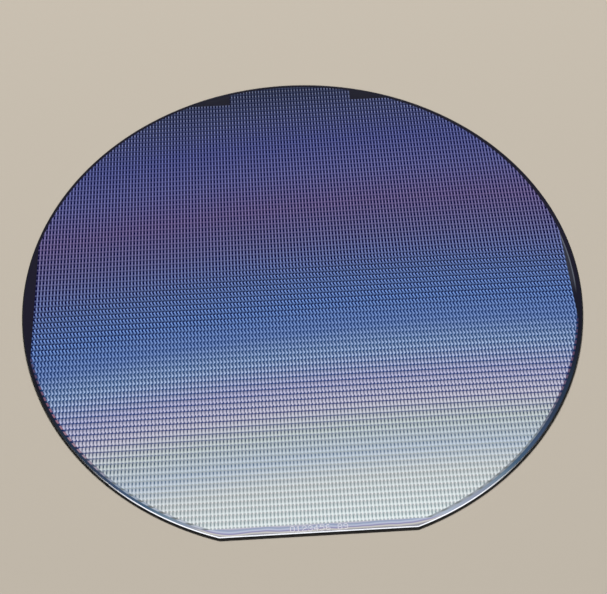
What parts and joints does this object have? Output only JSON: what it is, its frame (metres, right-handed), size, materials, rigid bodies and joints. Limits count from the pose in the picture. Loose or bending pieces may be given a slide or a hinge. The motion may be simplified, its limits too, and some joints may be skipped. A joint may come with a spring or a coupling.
{
  "type": "silicon wafer",
  "caption": "Thin round silicon disc with one straight flat, a ground bevelled edge and rows of small printed circuit dies on its polished front face.",
  "frame": {"origin": "on the axis of the round edge, in the plane of the back face", "axes": "+Z out of the printed front face, -Y towards the primary flat, +X along the flat"},
  "size_m": [0.15, 0.1461, 0.0006],
  "materials": {
    "silicon": "polished and ground silicon, dark grey",
    "blank_film": "clear oxide film with no circuits, near-black navy gloss",
    "die_film": "printed circuit layers, iridescent from violet and blue to pale silver",
    "mark": "shallow laser-etched dots, pale and matt"
  },
  "bodies": {
    "root": {"wafer": "silicon"}
  },
  "joints": []
}
